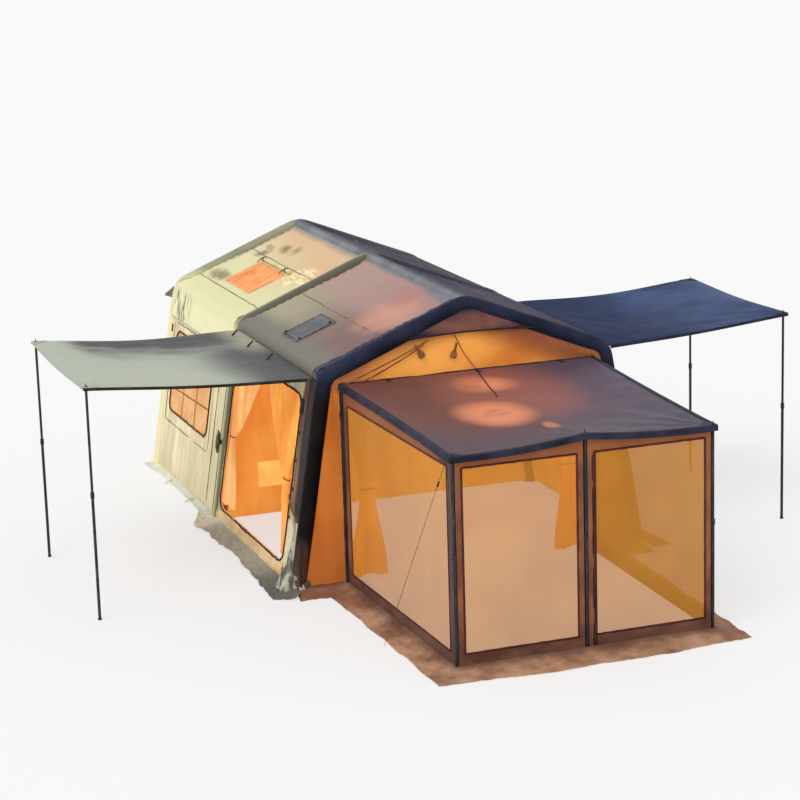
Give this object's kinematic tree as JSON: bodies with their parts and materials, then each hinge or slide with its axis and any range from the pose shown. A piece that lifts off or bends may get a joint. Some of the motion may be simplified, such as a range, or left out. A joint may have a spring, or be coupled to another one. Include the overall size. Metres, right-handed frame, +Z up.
{
  "type": "inflatable camping tent",
  "caption": "Cabin tent on inflated arches with a mesh porch, side door, roof skylight and a pole-raised awning on each side.",
  "frame": {"origin": "centre of the whole footprint, on the ground", "axes": "+Z up; the porch and the front doorway face -Y and the rear wall +Y; the open side door is on -X"},
  "size_m": [6.8602, 7.8719, 2.5448],
  "materials": {
    "navy_sleeve": "coated polyester sleeve",
    "pale_sleeve": "coated polyester sleeve",
    "cream_canvas": "coated canvas",
    "mauve_canvas": "coated canvas",
    "orange_canvas": "woven canvas",
    "brown_canvas": "woven canvas",
    "grey_canvas": "woven canvas",
    "awning_left_canvas": "coated polyester",
    "awning_right_canvas": "coated polyester",
    "insect_mesh": "knitted mesh",
    "window_film": "clear film",
    "black_pole": "powder coated steel",
    "black_plastic": "moulded",
    "guy_cord": "braided cord"
  },
  "bodies": {
    "tent": {"air_arch_front": "navy_sleeve", "air_arch_rear": "pale_sleeve", "air_frame": "pale_sleeve", "door_curtain_front": "orange_canvas", "door_curtain_rear": "orange_canvas", "door_panel_right": "orange_canvas", "front_curtain_left": "orange_canvas", "front_curtain_right": "orange_canvas", "guy_line": "guy_cord", "inflation_valve": "black_plastic", "partition": "orange_canvas", "porch_mesh_front_left": "insect_mesh", "porch_mesh_front_right": "insect_mesh", "porch_mesh_side_left": "insect_mesh", "porch_mesh_side_right": "insect_mesh", "porch_pole_front_centre_upper": "black_pole", "porch_pole_front_left_upper": "black_pole", "porch_pole_front_right_upper": "black_pole", "porch_pole_rear_left": "black_pole", "porch_pole_rear_right": "black_pole", "porch_roof": "mauve_canvas", "porch_wall_front_left": "brown_canvas", "porch_wall_front_right": "brown_canvas", "porch_wall_side_left": "brown_canvas", "porch_wall_side_right": "brown_canvas", "roof_left_front": "mauve_canvas", "roof_left_rear": "cream_canvas", "roof_right_front": "mauve_canvas", "roof_right_rear": "cream_canvas", "roof_vent_mesh": "insect_mesh", "skirt_cabin": "grey_canvas", "skirt_porch": "brown_canvas", "skylight_cover": "cream_canvas", "skylight_window": "window_film", "wall_front": "orange_canvas", "wall_left_front": "cream_canvas", "wall_left_rear": "cream_canvas", "wall_rear": "orange_canvas", "wall_right_front": "cream_canvas", "wall_right_rear": "cream_canvas", "window_left": "window_film", "window_right": "window_film"},
    "awning_left": {"awning_left": "awning_left_canvas"},
    "awning_pole_left_front_upper": {"awning_pole_left_front_upper": "black_pole"},
    "awning_pole_left_front_lower": {"awning_pole_left_front_lower": "black_pole"},
    "awning_pole_left_back_upper": {"awning_pole_left_back_upper": "black_pole"},
    "awning_pole_left_back_lower": {"awning_pole_left_back_lower": "black_pole"},
    "awning_right": {"awning_right": "awning_right_canvas"},
    "awning_pole_right_front_upper": {"awning_pole_right_front_upper": "black_pole"},
    "awning_pole_right_front_lower": {"awning_pole_right_front_lower": "black_pole"},
    "awning_pole_right_back_upper": {"awning_pole_right_back_upper": "black_pole"},
    "awning_pole_right_back_lower": {"awning_pole_right_back_lower": "black_pole"},
    "porch_pole_front_left_lower": {"porch_pole_front_left_lower": "black_pole"},
    "porch_pole_front_centre_lower": {"porch_pole_front_centre_lower": "black_pole"},
    "porch_pole_front_right_lower": {"porch_pole_front_right_lower": "black_pole"},
    "roof_vent_flap": {"roof_vent_flap": "grey_canvas"},
    "inflation_valve_cap": {"inflation_valve_cap": "black_plastic"},
    "guy_line_slider": {"guy_line_slider": "black_plastic"},
    "porch_zip_slider": {"porch_zip_slider": "black_pole"}
  },
  "joints": [
    {"name": "awning_left_pitch", "type": "hinge", "parent": "tent", "child": "awning_left", "pos_m": [-1.3257, 0.142, 1.914], "axis": [0, 1, 0], "range_deg": [-20, 3]},
    {"name": "awning_pole_left_front_tilt", "type": "hinge", "parent": "awning_left", "child": "awning_pole_left_front_upper", "pos_m": [-3.3962, -1.1253, 2.066], "axis": [0, 1, 0], "range_deg": [-3, 20]},
    {"name": "awning_pole_left_front_length", "type": "slide", "parent": "awning_pole_left_front_upper", "child": "awning_pole_left_front_lower", "axis": [0, 0, 1], "range_m": [-0.11, 0.73]},
    {"name": "awning_pole_left_back_tilt", "type": "hinge", "parent": "awning_left", "child": "awning_pole_left_back_upper", "pos_m": [-3.3962, 0.9274, 2.066], "axis": [0, 1, 0], "range_deg": [-3, 20]},
    {"name": "awning_pole_left_back_length", "type": "slide", "parent": "awning_pole_left_back_upper", "child": "awning_pole_left_back_lower", "axis": [0, 0, 1], "range_m": [-0.11, 0.73]},
    {"name": "awning_right_pitch", "type": "hinge", "parent": "tent", "child": "awning_right", "pos_m": [1.4957, 0.142, 1.914], "axis": [0, -1, 0], "range_deg": [-20, 3]},
    {"name": "awning_pole_right_front_tilt", "type": "hinge", "parent": "awning_right", "child": "awning_pole_right_front_upper", "pos_m": [3.3959, -0.9482, 2.0159], "axis": [0, -1, 0], "range_deg": [-3, 20]},
    {"name": "awning_pole_right_front_length", "type": "slide", "parent": "awning_pole_right_front_upper", "child": "awning_pole_right_front_lower", "axis": [0, 0, 1], "range_m": [-0.1, 0.66]},
    {"name": "awning_pole_right_back_tilt", "type": "hinge", "parent": "awning_right", "child": "awning_pole_right_back_upper", "pos_m": [3.396, 0.9966, 2.0159], "axis": [0, -1, 0], "range_deg": [-3, 20]},
    {"name": "awning_pole_right_back_length", "type": "slide", "parent": "awning_pole_right_back_upper", "child": "awning_pole_right_back_lower", "axis": [0, 0, 1], "range_m": [-0.1, 0.66]},
    {"name": "porch_pole_left_length", "type": "slide", "parent": "tent", "child": "porch_pole_front_left_lower", "axis": [0, 0, 1], "range_m": [0, 0.7]},
    {"name": "porch_pole_centre_length", "type": "slide", "parent": "tent", "child": "porch_pole_front_centre_lower", "axis": [0, 0, 1], "range_m": [0, 0.7]},
    {"name": "porch_pole_right_length", "type": "slide", "parent": "tent", "child": "porch_pole_front_right_lower", "axis": [0, 0, 1], "range_m": [0, 0.7]},
    {"name": "roof_vent_flap_hinge", "type": "hinge", "parent": "tent", "child": "roof_vent_flap", "pos_m": [-0.7746, 0.162, 2.1961], "axis": [0, 1, 0], "range_deg": [0, 150]},
    {"name": "valve_cap_turn", "type": "hinge", "parent": "tent", "child": "inflation_valve_cap", "pos_m": [-1.5531, 1.412, 0.7961], "axis": [-0.9862, 0, 0.1654], "range_deg": [0, 540]},
    {"name": "guy_slider_slide", "type": "slide", "parent": "tent", "child": "guy_line_slider", "axis": [-0.1441, 0.4127, -0.8994], "range_m": [-0.15, 0.6]},
    {"name": "porch_zip_slide", "type": "slide", "parent": "tent", "child": "porch_zip_slider", "axis": [0, 0, 1], "range_m": [0, 1.3]}
  ],
  "couplings": [
    {"joint": "awning_pole_left_front_tilt", "follows": "awning_left_pitch", "ratio": -1},
    {"joint": "awning_pole_left_front_length", "follows": "awning_left_pitch", "m_per_rad": -2.06},
    {"joint": "awning_pole_left_back_tilt", "follows": "awning_left_pitch", "ratio": -1},
    {"joint": "awning_pole_left_back_length", "follows": "awning_left_pitch", "m_per_rad": -2.06},
    {"joint": "awning_pole_right_front_tilt", "follows": "awning_right_pitch", "ratio": -1},
    {"joint": "awning_pole_right_front_length", "follows": "awning_right_pitch", "m_per_rad": -1.88},
    {"joint": "awning_pole_right_back_tilt", "follows": "awning_right_pitch", "ratio": -1},
    {"joint": "awning_pole_right_back_length", "follows": "awning_right_pitch", "m_per_rad": -1.88}
  ]
}
